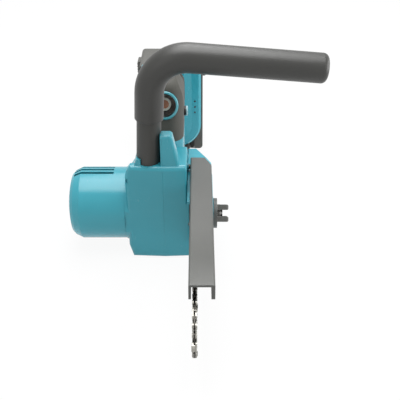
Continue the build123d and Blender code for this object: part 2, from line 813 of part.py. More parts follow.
def saw_chain(path):
    outer_places, drive_places = link_places(path)
    link = drive_link()
    save("chain_drive_links", group([place * link for place in drive_places]))
    plain, left, right = outer_link(0), outer_link(-1), outer_link(1)
    straps = [place * plain for place in outer_places[1::2]]
    cutters = [place * (left if number % 2 else right) for number, place in enumerate(outer_places[0::2])]
    save("chain_tie_straps", group(straps))
    save("chain_cutters", group(cutters))


def chain_sprocket():
    mid = SPROCKET_RIVET_R * math.cos(math.pi / (2 * SPROCKET_TEETH))
    x0, x1 = BAR_X - SPROCKET_HALF, BAR_X + SPROCKET_HALF
    star = disc_x(mid - STRAP_DEPTH - 0.35, x0, x1, SPROCKET_Y, SPROCKET_Z)
    low = mid - TANG_DEPTH - 0.4
    gullet = prism_x(((low, -2.4), (mid, -4.5), (mid + 4, -4.5), (mid + 4, 4.5), (mid, 4.5), (low, 2.4)),
                     BAR_X - 5, BAR_X + 5)
    for tooth in range(SPROCKET_TEETH):
        turn = Rot(360 / SPROCKET_TEETH * tooth, 0, 0)
        star = star - Pos(0, SPROCKET_Y, SPROCKET_Z) * turn * gullet
    save("chain_sprocket", star - disc_x(5, 0, 60, SPROCKET_Y, SPROCKET_Z))


def bar_outline(path, drop):
    nose = NOSE_RIVET_R - drop
    belly = BELLY_R - drop
    centre = path.belly
    tip = turn_point((-path.length, 0), nose, path.nose_top)
    tail_y = BAR_TAIL - SPROCKET_Y
    tail = (tail_y, centre[1] + math.sqrt(belly**2 - (tail_y - centre[0]) ** 2))
    half_turn = (path.nose_top + math.atan2(tail[1] - centre[1], tail[0] - centre[0])) / 2
    crown = turn_point(centre, belly, half_turn)
    edges = [
        ThreePointArc(tail, crown, tip),
        ThreePointArc(tip, (-path.length - nose, 0), (tip[0], -tip[1])),
        ThreePointArc((tip[0], -tip[1]), (crown[0], -crown[1]), (tail[0], -tail[1])),
        Line((tail[0], -tail[1]), tail),
    ]
    return make_face(edges)


def bar_slab(path, drop, thick):
    slab = extrude(Plane.YZ.offset(-thick / 2) * bar_outline(path, drop), thick)
    return Pos(BAR_X, SPROCKET_Y, SPROCKET_Z) * slab


def guide_bar(path):
    bar = bar_slab(path, RAIL_DROP, BAR_THICK)
    bar = fillet(bar.edges().filter_by(Axis.X).group_by(Axis.Y)[-1], 3.5)
    groove = bar_slab(path, RAIL_DROP - 2, DRIVE_THICK + 0.3) - bar_slab(path, RAIL_DROP + GROOVE_DEPTH, 4)
    groove = groove & span_box(0, 60, -400, BAR_TAIL + 1, -100, 200)
    half, front, back = 4.15, STUD_Y - 7.2, STUD_Y + 9.2
    slot = span_box(20, 34, front, back, SPROCKET_Z - half, SPROCKET_Z + half)
    slot = slot + disc_x(half, 20, 34, front, SPROCKET_Z) + disc_x(half, 20, 34, back, SPROCKET_Z)
    bar = bar - groove - slot - disc_x(1.8, 20, 34, -18, SCREW_Z)
    nose = path.length - SPROCKET_Y
    for y in (-nose + 9, -nose + 16):
        bar = bar - disc_x(1.4, 20, 34, y, SPROCKET_Z)
    save("guide_bar", largest(bar))


def tensioner():
    bar_face = BAR_X - BAR_THICK / 2
    nut = span_box(BODY_RIGHT + 0.3, bar_face - 0.2, -22, -14, SCREW_Z - 3.4, SCREW_Z + 3.4)
    nut = nut + disc_x(1.7, bar_face - 1, BAR_X + 1.2, -18, SCREW_Z)
    save("tension_nut", nut - disc_y(SCREW_R + FINE, -30, 0, SCREW_X, SCREW_Z))
    head = disc_y(2.05, BODY_FRONT + 1, BODY_FRONT + 3.9, SCREW_X, SCREW_Z)
    slot = span_box(SCREW_X - 5, SCREW_X + 5, BODY_FRONT, BODY_FRONT + 2.2, SCREW_Z - 0.4, SCREW_Z + 0.4)
    head = head - slot
    save("tension_screw", head + disc_y(SCREW_R, BODY_FRONT + 3, 2, SCREW_X, SCREW_Z))


def bar_mount():
    inner = BODY_RIGHT - WALL
    flange = span_box(13.2, inner, front_at(inner) + WALL, STUD_Y + 12, SPROCKET_Z - 8, SPROCKET_Z + 8)
    save("bar_stud", flange + disc_x(STUD_R, 16, 50.4, STUD_Y, SPROCKET_Z))
    seat = BAR_X - BAR_THICK / 2 - FINE
    pad = span_box(BODY_RIGHT, seat, STUD_Y - 14, STUD_Y + 14, SPROCKET_Z - 4.6, SPROCKET_Z + 12)
    pad = fillet(pad.edges().filter_by(Axis.X), 3)
    pad = pad - disc_x(STUD_R, 10, 40, STUD_Y, SPROCKET_Z)
    pad = pad - span_box(0, 40, -60, front_at(seat) + 0.6, 0, 90)
    save("bar_pad", pad - span_box(0, LIP_X + 0.1, -60, LIP_BACK + 0.1, 0, 90))


def bar_knob():
    flange = disc_x(13, 42.7, 45.7, STUD_Y, SPROCKET_Z)
    knob = flange + disc_x(7.6, 45, 48, STUD_Y, SPROCKET_Z)
    tilt = math.degrees(math.atan2(0.56, 0.83))
    for side in (-1, 1):
        wing = span_box(45, 55.4, -10, 10, side * 5.1 - 2.3, side * 5.1 + 2.3)
        wing = fillet(wing.edges().group_by(Axis.X)[-1], 1.4)
        wing = wing & disc_x(12.4, 40, 60, 0, 0)
        knob = knob + Pos(0, STUD_Y, SPROCKET_Z) * Rot(-tilt, 0, 0) * wing
    save("bar_knob", knob - disc_x(6, 40, 60, STUD_Y, SPROCKET_Z))
    save("knob_insert", ring_x(6, STUD_R + FINE, 42.8, 49, STUD_Y, SPROCKET_Z))


# Covers and guard


def cover_plan(inset, front):
    low, top = COVER_LOW + inset, COVER_TOP - inset
    back = COVER_BACK - inset
    face = make_face(Polyline((front, low), (back, low), (back, top), (front, top), close=True))
    face = fillet(face.vertices().group_by(Axis.X)[-1].sort_by(Axis.Y)[0], 14 - inset)
    return fillet(face.vertices().group_by(Axis.X)[-1].sort_by(Axis.Y)[-1], 4.5 - inset)


def slant_cut(point, lean, inset):
    lean = Vector(*lean).normalized()
    plane = Plane(origin=Vector(*point) - lean * inset, z_dir=lean)
    return plane * Pos(0, 0, 50) * Box(300, 300, 100)


def cover_corner(inset):
    return slant_cut(CORNER_POINT, CORNER_LEAN, inset) + slant_cut(BEVEL_POINT, BEVEL_LEAN, inset)


def sprocket_cover():
    left = BODY_RIGHT + 0.4
    cover = extrude(Plane.YZ.offset(left) * cover_plan(0, COVER_FRONT), COVER_X - left) - cover_corner(0)
    cover = fillet(cover.edges().group_by(Axis.X)[-1], 3.0)
    inside = Plane.YZ.offset(left - 1) * cover_plan(COVER_WALL, COVER_FRONT - 5)
    room = extrude(inside, COVER_X - left + 1 - COVER_WALL) - cover_corner(COVER_WALL)
    cover = cover - room - span_box(0, LIP_X + 0.3, -60, LIP_BACK + 0.6, 0, LIP_TOP + 0.6)
    lip = span_box(32, 40, COVER_FRONT, COVER_FRONT + 2.5, COVER_LOW + 2, COVER_TOP - 2)
    boss = disc_x(10, BAR_X + BAR_THICK / 2 + 0.15, 40, STUD_Y, SPROCKET_Z)
    pad = disc_x(14.5, 40, 42.4, STUD_Y, SPROCKET_Z)
    cover = cover + lip + boss + pad
    save("sprocket_cover", cover - disc_x(STUD_R + 0.2, 0, 60, STUD_Y, SPROCKET_Z))


def guard_sway(y):
    return GUARD_SWAY * (y - GUARD_FRONT) / (GUARD_BACK - GUARD_FRONT)


def guard_plan(inset, rim, front, back):
    left, right = GUARD_LEFT + inset, GUARD_RIGHT - rim
    corners = ((left, front), (right, front), (right, back - 13), (right - 6, back), (left, back))
    points = [(x + guard_sway(y), y) for x, y in corners]
    return make_face(Polyline(*points, close=True))


def chain_guard():
    low = GUARD_TOP - GUARD_DEPTH
    guard = extrude(Plane.XY.offset(low) * guard_plan(0, 0, GUARD_FRONT, GUARD_BACK), GUARD_DEPTH)
    upper = guard.edges().group_by(Axis.Z)[-1]
    guard = fillet([edge for edge in upper if abs(edge.tangent_at(0.5).Y) > 0.99], 1.2)
    room = Plane.XY.offset(low - 1) * guard_plan(GUARD_SKIN, GUARD_RIM, GUARD_FRONT - 5, GUARD_BACK + 5)
    guard = guard - extrude(room, GUARD_DEPTH + 1 - GUARD_SKIN)
    trim = ((GUARD_FRONT + 100, low - 1), (GUARD_FRONT + 110, 70.8), (60, 70.8), (60, low - 1))
    guard = guard - prism_x(trim, 0, 60) - span_box(0, 60, HINGE_Y + 2, 60, 0, GUARD_TOP - GUARD_SKIN)
    guard = guard - span_box(30, 60, GUARD_BACK - 14, 60, 0, GUARD_TOP - GUARD_SKIN)
    for x in (GUARD_LEFT, 33.0):
        ear = disc_x(2.7, x, x + GUARD_SKIN, HINGE_Y, HINGE_Z)
        web = span_box(x, x + GUARD_SKIN, HINGE_Y - 2.7, HINGE_Y + 2.7, HINGE_Z, GUARD_TOP - 1)
        guard = guard + ear + web
    corner = guard.edges().filter_by(Axis.X).group_by(Axis.Y)[0].group_by(Axis.Z)[0]
    guard = fillet(corner, 3.0)
    save("chain_guard", guard - disc_x(HINGE_R + FINE, 0, 60, HINGE_Y, HINGE_Z))
    pin = disc_x(HINGE_R, 10, 36, HINGE_Y, HINGE_Z) + disc_x(3.4, 35.4, 37, HINGE_Y, HINGE_Z)
    save("guard_pin", pin)


# Side handle


def tube_path(first, last):
    points = [(x, TUBE_Y, z) for x, z in (first, TUBE_CORNER, last)]
    return FilletPolyline(*points, radius=TUBE_BEND)


def along_tube(z):
    share = (z - TUBE_FOOT[1]) / (TUBE_CORNER[1] - TUBE_FOOT[1])
    return (TUBE_FOOT[0] + share * (TUBE_CORNER[0] - TUBE_FOOT[0]), z)


def swept_tube(path, radius):
    start = Plane(origin=path @ 0, z_dir=path % 0)
    return sweep(start * Circle(radius), path=path)


def side_handle():
    path = tube_path(TUBE_FOOT, TUBE_TIP)
    save("handle_tube", swept_tube(path, TUBE_R) - swept_tube(path, TUBE_R - TUBE_WALL))
    run = Vector(TUBE_TIP[0] - TUBE_CORNER[0], 0, TUBE_TIP[1] - TUBE_CORNER[1]).normalized()
    end = (TUBE_TIP[0] + 2.4 * run.X, TUBE_TIP[1] + 2.4 * run.Z)
    sleeve = swept_tube(tube_path(along_tube(SLEEVE_START_Z), end), SLEEVE_R)
    sleeve = fillet(sleeve.edges().sort_by(Axis.X)[-1], 4.5)
    sleeve = sleeve - swept_tube(path, TUBE_R)
    save("handle_sleeve", largest(sleeve))
    start = Plane(origin=path @ 0, z_dir=path % 0)
    save("tube_plug", start * Pos(0, 0, 6) * Cylinder(TUBE_R - TUBE_WALL, 12))


# Work lamp


def work_lamp():
    inside = LAMP_R - 2.1
    bezel = lamp_disc(LAMP_R, LAMP_DEPTH, -1.2) - lamp_disc(inside, LAMP_DEPTH - 1.4, -3)
    bezel = chamfer(bezel.edges().sort_by(lambda edge: edge.center().Y)[0], 0.8)
    save("lamp_bezel", bezel)
    floor = LAMP_DEPTH - 2.2
    cup = lamp_disc(inside, LAMP_DEPTH - 1.4, 1.8) - lamp_disc(LAMP_RING_R, floor, 0)
    bowl = lamp_plane(floor - 1.6) * Pos(0, 0, (floor - 3.4) / 2) * Cone(LAMP_RING_R, 9.6, floor - 3.4)
    save("lamp_reflector", cup - bowl)
    save("lamp_ring", lamp_disc(LAMP_RING_R, floor, floor - 2.4) - lamp_disc(LED_R, floor + 1, 0))
    save("led_chip", lamp_disc(LED_R, floor, floor - 1.8))
    save("lamp_lens", lamp_disc(inside, 1.8, 0.4))


# Rear handle controls


def trigger():
    pivot_y, pivot_z = TRIGGER_Y, TRIGGER_Z
    points = ((-3.4, 3.4), (3.4, 3.4), (22, -1), (23, -8), (12, -15), (4, -20), (-1.5, -20.5), (-3.4, -10))
    face = make_face(Polyline(*points, close=True))
    corners = face.vertices()
    face = fillet([v for v in corners if v.Y < -5 and v.X > -3], 2.5)
    lever = extrude(Plane.YZ.offset(-TRIGGER_HALF) * face, 2 * TRIGGER_HALF)
    lever = Pos(0, pivot_y, pivot_z) * lever
    outside = lever.edges().filter_by(lambda edge: abs(abs(edge.center().X) - TRIGGER_HALF) < 0.01)
    lever = fillet([edge for edge in outside if edge.center().Z < pivot_z - 12], 1.5)
    save("trigger", lever - disc_x(1.5 + RUNNING, -20, 20, pivot_y, pivot_z))
    save("trigger_pin", disc_x(1.5, -13, 13, pivot_y, pivot_z))


def lock_button():
    save("lock_button", disc_x(LOCK_R, 7, LOCK_CAP_X, LOCK_Y, LOCK_Z))
    cap = disc_x(LOCK_R, LOCK_CAP_X, LOCK_OUT, LOCK_Y, LOCK_Z)
    save("lock_cap", fillet(cap.edges().group_by(Axis.X)[-1], 0.6))


def electrics():
    save("trigger_switch", span_box(-8, 8, 62, 80, 113, 123))
    save("controller_board", span_box(-26, 26, 153.5, 155.1, 30, 62))
    block = span_box(-12.8, 12.8, 160.2, 166.5, 52.2, 86.8)
    for x in (-8, 8):
        block = block + span_box(x - 0.5, x + 0.5, 166, 171, 55, 84)
    save("terminal_block", block)


# Battery pack


def pack_outer():
    pack = span_box(-PACK_HALF, PACK_HALF, PACK_FRONT, PACK_BACK, PACK_LOW, PACK_TOP)
    pack = fillet(pack.edges().filter_by(Axis.Y), 4)
    return fillet(pack.edges().group_by(Axis.Y)[-1], 4)


def pack_room():
    room = span_box(-PACK_HALF + PACK_SIDE, PACK_HALF - PACK_SIDE, 174, PACK_BACK - PACK_WALL,
                    PACK_LOW + PACK_WALL, PACK_TOP - PACK_WALL)
    return fillet(room.edges().filter_by(Axis.Y), 1.5)


def pack_tracks():
    tracks = span_box(-13.6, 13.6, 160, 172, 0, 87.6)
    for side in (-1, 1):
        stem = span_box(20 - SLIP, 24 + SLIP, 160, 171 + SLIP, 0, RAIL_TOP + SLIP)
        lip = span_box(23, 28 + SLIP, 168 - SLIP, 171 + SLIP, 0, RAIL_TOP + SLIP)
        tracks = tracks + ((stem + lip) if side > 0 else mirror(stem + lip, Plane.YZ))
    return tracks


# Shallow panel sunk into the pack's back
def pack_recess():
    depth, middle = 1.0, 50.0
    plane = Plane.XZ.offset(-(PACK_BACK - depth))
    return extrude(plane * Pos(0, middle) * RectangleRounded(46, 76, 5), -2 * depth)


def battery_pack():
    shell = pack_outer() - pack_room() - pack_tracks() - latch_windows() - pack_recess()
    save("battery_case", largest(shell & span_box(-60, 60, 100, PACK_SEAM, -10, 200)))
    save("battery_cover", largest(shell & span_box(-60, 60, PACK_SEAM, 300, -10, 200)))
    cells = []
    for row in range(5):
        for column in range(2):
            place = (185 + CELL_STEP * column, 13.9 + CELL_STEP * row)
            cells.append(disc_x(CELL_R, -CELL_LENGTH / 2, CELL_LENGTH / 2, *place))
    save("battery_cells", group(cells))


def latch_windows():
    return span_box(-50, 50, LATCH_Y - 7.4, LATCH_Y + 7.4, LATCH_Z - 8.4, LATCH_Z + 8.4)


def battery_latches():
    for name, side in (("left_latch", -1), ("right_latch", 1)):
        x0, x1 = PACK_HALF - 0.2, PACK_HALF + 3.4
        button = span_box(x0, x1, LATCH_Y - 7, LATCH_Y + 7, LATCH_Z - 8, LATCH_Z + 8)
        button = fillet(button.edges().group_by(Axis.X)[-1], 1.2)
        save(name, button if side > 0 else mirror(button, Plane.YZ))


def rear_feet():
    feet = []
    for x in (-13, 13):
        foot = span_box(x - 6, x + 6, 152, 163, 0, FOOT_LOW + 5)
        feet.append(fillet(foot.edges().filter_by(Axis.Z), 2) - battery_foot(0))
    save("rear_feet", group(feet))


def build():
    os.makedirs("parts", exist_ok=True)
    housings()
    housing_screws()
    grip_overmould()
    motor_cover()
    motor_stator()
    motor_rotor()
    gears()
    gear_case()
    output_shaft()
    path = chain_path()
    print("chain loop", round(path.total, 2), "bar nose at Y", round(SPROCKET_Y - path.length, 2))
    saw_chain(path)
    chain_sprocket()
    guide_bar(path)
    tensioner()
    bar_mount()
    bar_knob()
    sprocket_cover()
    chain_guard()
    side_handle()
    work_lamp()
    trigger()
    lock_button()
    electrics()
    battery_pack()
    battery_latches()
    rear_feet()


build()
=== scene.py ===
import bpy
import bmesh
import math
from mathutils import Matrix, Vector


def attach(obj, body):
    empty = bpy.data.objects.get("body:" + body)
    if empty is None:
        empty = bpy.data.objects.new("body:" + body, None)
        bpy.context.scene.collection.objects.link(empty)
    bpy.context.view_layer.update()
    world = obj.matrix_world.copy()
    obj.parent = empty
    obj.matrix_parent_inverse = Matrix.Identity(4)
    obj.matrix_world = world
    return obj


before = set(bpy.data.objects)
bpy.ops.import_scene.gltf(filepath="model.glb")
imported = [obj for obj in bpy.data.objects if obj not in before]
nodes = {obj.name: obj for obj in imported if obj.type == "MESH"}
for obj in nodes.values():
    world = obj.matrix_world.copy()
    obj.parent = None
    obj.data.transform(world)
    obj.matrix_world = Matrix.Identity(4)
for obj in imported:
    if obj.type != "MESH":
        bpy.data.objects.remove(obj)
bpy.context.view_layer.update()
print("frame loaded:", len(nodes), "nodes")


# screen bytes to the linear colour that a shader takes
def fromBytes(r, g, b):
    out = []
    for part in (r, g, b):
        part = part / 255
        out.append(part / 12.92 if part <= 0.04045 else ((part + 0.055) / 1.055) ** 2.4)
    return (*out, 1.0)


# camera where the photograph was taken from: in front, looking down on the bar at 34 degrees
cameraSpot = {"place": (0.031, -0.50125, 0.37877), "pitch": 56.0, "lens": 60.0, "sensor": 36.0,
              "near": 0.01}

lens = bpy.data.cameras.new("photoCamera")
lens.lens = cameraSpot["lens"]
lens.sensor_width = cameraSpot["sensor"]
lens.clip_start = cameraSpot["near"]
camera = bpy.data.objects.new("photoCamera", lens)
camera.location = cameraSpot["place"]
camera.rotation_euler = (math.radians(cameraSpot["pitch"]), 0, 0)
bpy.context.scene.collection.objects.link(camera)
bpy.context.scene.camera = camera
print("camera set")


def startGroup(name, inputs, outputs):
    tree = bpy.data.node_groups.new(name, "ShaderNodeTree")
    for label, kind, value in inputs:
        socket = tree.interface.new_socket(name=label, in_out="INPUT", socket_type=kind)
        if value is not None:
            socket.default_value = value
    for label, kind in outputs:
        tree.interface.new_socket(name=label, in_out="OUTPUT", socket_type=kind)
    return tree, tree.nodes.new("NodeGroupInput"), tree.nodes.new("NodeGroupOutput")


def mathNode(tree, operation, first, second):
    node = tree.nodes.new("ShaderNodeMath")
    node.operation = operation
    for index, value in enumerate((first, second)):
        if isinstance(value, (int, float)):
            node.inputs[index].default_value = value
        else:
            tree.links.new(value, node.inputs[index])
    return node.outputs[0]


def noiseNode(tree, vector, scale, detail, roughness=0.5):
    node = tree.nodes.new("ShaderNodeTexNoise")
    node.inputs["Detail"].default_value = detail
    node.inputs["Roughness"].default_value = roughness
    tree.links.new(vector, node.inputs["Vector"])
    if isinstance(scale, (int, float)):
        node.inputs["Scale"].default_value = scale
    else:
        tree.links.new(scale, node.inputs["Scale"])
    return node.outputs["Fac"]


def rangeNode(tree, value, span, result=(0.0, 1.0)):
    node = tree.nodes.new("ShaderNodeMapRange")
    node.clamp = True
    tree.links.new(value, node.inputs["Value"])
    for label, number in zip(("From Min", "From Max", "To Min", "To Max"), (*span, *result)):
        node.inputs[label].default_value = number
    return node.outputs["Result"]


# spark-eroded mould surface: fine grain, slow drift of tone
mouldGrainLook = {"scale": 1500.0, "fineDetail": 3.0, "fineRough": 0.6,
                  "coarseScale": 0.27, "coarseDetail": 1.0, "coarseShare": 0.5,
                  "driftScale": 18.0, "driftDetail": 2.0}


def buildMouldGrain(look):
    tree, start, end = startGroup(
        "mouldGrain",
        (("Vector", "NodeSocketVector", None), ("Scale", "NodeSocketFloat", look["scale"])),
        (("Height", "NodeSocketFloat"), ("Drift", "NodeSocketFloat")),
    )
    spot = start.outputs["Vector"]
    scale = start.outputs["Scale"]
    fine = noiseNode(tree, spot, scale, look["fineDetail"], look["fineRough"])
    coarseScale = mathNode(tree, "MULTIPLY", scale, look["coarseScale"])
    coarse = noiseNode(tree, spot, coarseScale, look["coarseDetail"])
    coarse = mathNode(tree, "MULTIPLY", coarse, look["coarseShare"])
    tree.links.new(mathNode(tree, "ADD", fine, coarse), end.inputs["Height"])
    drift = noiseNode(tree, spot, look["driftScale"], look["driftDetail"])
    tree.links.new(drift, end.inputs["Drift"])
    return tree


# handling marks: a few worn patches broken up by fine scratches
handlingWearLook = {"scale": 30.0, "patchDetail": 3.0, "patch": (0.56, 0.74),
                    "stretch": (1.0, 0.12, 0.35), "turn": (0.3, 0.5, 0.9),
                    "scratchScale": 900.0, "scratchDetail": 2.0, "scratch": (0.55, 0.75)}


def buildHandlingWear(look):
    tree, start, end = startGroup(
        "handlingWear",
        (("Vector", "NodeSocketVector", None), ("Scale", "NodeSocketFloat", look["scale"])),
        (("Mask", "NodeSocketFloat"),),
    )
    spot = start.outputs["Vector"]
    patch = noiseNode(tree, spot, start.outputs["Scale"], look["patchDetail"])
    patch = rangeNode(tree, patch, look["patch"])
    drawn = tree.nodes.new("ShaderNodeMapping")
    drawn.inputs["Scale"].default_value = look["stretch"]
    drawn.inputs["Rotation"].default_value = look["turn"]
    tree.links.new(spot, drawn.inputs["Vector"])
    scratch = noiseNode(tree, drawn.outputs["Vector"], look["scratchScale"], look["scratchDetail"])
    scratch = rangeNode(tree, scratch, look["scratch"])
    tree.links.new(mathNode(tree, "MULTIPLY", patch, scratch), end.inputs["Mask"])
    return tree


# grinding lines drawn out along one direction
groundLinesLook = {"fineScale": 900.0, "fineDetail": 4.0, "fineRough": 0.65,
                   "slowScale": 160.0, "slowDetail": 2.0}


def buildGroundLines(look):
    tree, start, end = startGroup(
        "groundLines",
        (("Vector", "NodeSocketVector", None), ("Stretch", "NodeSocketVector", (1.0, 1.0, 1.0))),
        (("Height", "NodeSocketFloat"), ("Streak", "NodeSocketFloat")),
    )
    drawn = tree.nodes.new("ShaderNodeVectorMath")
    drawn.operation = "MULTIPLY"
    tree.links.new(start.outputs["Vector"], drawn.inputs[0])
    tree.links.new(start.outputs["Stretch"], drawn.inputs[1])
    spot = drawn.outputs["Vector"]
    fine = noiseNode(tree, spot, look["fineScale"], look["fineDetail"], look["fineRough"])
    slow = noiseNode(tree, spot, look["slowScale"], look["slowDetail"])
    tree.links.new(fine, end.inputs["Height"])
    tree.links.new(mathNode(tree, "MULTIPLY", fine, slow), end.inputs["Streak"])
    return tree


# rounds what the solids leave sharp, and finds the edges where paint and plastic rub pale
softEdgeLook = {"radius": 0.0006, "samples": 4, "turned": (0.8, 0.98)}


def buildSoftEdge(look):
    tree, start, end = startGroup(
        "softEdge",
        (("Radius", "NodeSocketFloat", look["radius"]),),
        (("Normal", "NodeSocketVector"), ("Edge", "NodeSocketFloat")),
    )
    bevel = tree.nodes.new("ShaderNodeBevel")
    bevel.samples = look["samples"]
    tree.links.new(start.outputs["Radius"], bevel.inputs["Radius"])
    flat = tree.nodes.new("ShaderNodeNewGeometry")
    dot = tree.nodes.new("ShaderNodeVectorMath")
    dot.operation = "DOT_PRODUCT"
    tree.links.new(bevel.outputs["Normal"], dot.inputs[0])
    tree.links.new(flat.outputs["Normal"], dot.inputs[1])
    tree.links.new(bevel.outputs["Normal"], end.inputs["Normal"])
    edge = rangeNode(tree, dot.outputs["Value"], look["turned"], (1.0, 0.0))
    tree.links.new(edge, end.inputs["Edge"])
    return tree


mouldGrain = buildMouldGrain(mouldGrainLook)
handlingWear = buildHandlingWear(handlingWearLook)
groundLines = buildGroundLines(groundLinesLook)
softEdge = buildSoftEdge(softEdgeLook)
print("shader groups made")


def placeGroup(tree, group, **values):
    node = tree.nodes.new("ShaderNodeGroup")
    node.node_tree = group
    for label, value in values.items():
        node.inputs[label].default_value = value
    return node


# the mix node's colour sockets go by number, because it has several sockets of each name
def mixColour(tree, factor, first, second):
    node = tree.nodes.new("ShaderNodeMix")
    node.data_type = "RGBA"
    tree.links.new(factor, node.inputs["Factor"])
    for socket, value in ((node.inputs[6], first), (node.inputs[7], second)):
        if isinstance(value, tuple):
            socket.default_value = value
        else:
            tree.links.new(value, socket)
    return node.outputs[2]


def startMaterial(name):
    material = bpy.data.materials.new(name)
    material.use_nodes = True
    tree = material.node_tree
    shader = tree.nodes["Principled BSDF"]
    spot = tree.nodes.new("ShaderNodeTexCoord").outputs["Object"]
    return material, tree, shader, spot


# base colour between two tones, paler along rubbed edges
def colourInto(tree, shader, tone, edge, look):
    colour = mixColour(tree, tone, fromBytes(*look["shade"]), fromBytes(*look["colour"]))
    rubbed = mathNode(tree, "MULTIPLY", edge.outputs["Edge"], look["rub"])
    colour = mixColour(tree, rubbed, colour, fromBytes(*look["pale"]))
    tree.links.new(colour, shader.inputs["Base Color"])


# roughness that follows the surface's relief, duller where the saw is handled
def roughInto(tree, shader, wear, height, span, spread, look):
    dull = mathNode(tree, "MULTIPLY", wear.outputs["Mask"], look["wear"])
    rough = rangeNode(tree, height, span, (look["rough"] - spread, look["rough"] + spread))
    tree.links.new(mathNode(tree, "ADD", dull, rough), shader.inputs["Roughness"])


def bumpInto(tree, shader, height, depth, distance, under):
    bump = tree.nodes.new("ShaderNodeBump")
    bump.inputs["Strength"].default_value = depth
    bump.inputs["Distance"].default_value = distance
    tree.links.new(height, bump.inputs["Height"])
    tree.links.new(under, bump.inputs["Normal"])
    tree.links.new(bump.outputs["Normal"], shader.inputs["Normal"])


# moulded plastic, rubber and paint: colour drift, grain, pale rubbed edges, duller where handled
mouldedBasis = {"wearScale": 30.0, "drift": (0.3, 0.7), "grain": (0.4, 1.1), "spread": 0.05,
                "specular": 0.5, "coat": 0.0, "coatRough": 0.2, "relief": 0.0002}


def mouldedFinish(name, look, basis):
    material, tree, shader, spot = startMaterial(name)
    grain = placeGroup(tree, mouldGrain, Scale=look["grain"])
    wear = placeGroup(tree, handlingWear, Scale=basis["wearScale"])
    edge = placeGroup(tree, softEdge, Radius=look["edge"])
    tree.links.new(spot, grain.inputs["Vector"])
    tree.links.new(spot, wear.inputs["Vector"])
    colourInto(tree, shader, rangeNode(tree, grain.outputs["Drift"], basis["drift"]), edge, look)
    height = grain.outputs["Height"]
    roughInto(tree, shader, wear, height, basis["grain"], basis["spread"], look)
    shader.inputs["Specular IOR Level"].default_value = look.get("specular", basis["specular"])
    shader.inputs["Coat Weight"].default_value = look.get("coat", basis["coat"])
    shader.inputs["Coat Roughness"].default_value = basis["coatRough"]
    bumpInto(tree, shader, height, look["depth"], basis["relief"], edge.outputs["Normal"])
    return material


# bare metal: grinding lines in its roughness and relief, a few duller patches
metalBasis = {"wearScale": 60.0, "streak": (0.1, 0.45), "lines": (0.3, 0.7), "spread": 0.06,
              "relief": 0.0001}


def metalFinish(name, look, basis):
    material, tree, shader, spot = startMaterial(name)
    lines = placeGroup(tree, groundLines, Stretch=look["stretch"])
    wear = placeGroup(tree, handlingWear, Scale=basis["wearScale"])
    edge = placeGroup(tree, softEdge, Radius=look["edge"])
    tree.links.new(spot, lines.inputs["Vector"])
    tree.links.new(spot, wear.inputs["Vector"])
    colourInto(tree, shader, rangeNode(tree, lines.outputs["Streak"], basis["streak"]), edge, look)
    shader.inputs["Metallic"].default_value = 1.0
    height = lines.outputs["Height"]
    roughInto(tree, shader, wear, height, basis["lines"], basis["spread"], look)
    bumpInto(tree, shader, height, look["depth"], basis["relief"], edge.outputs["Normal"])
    return material


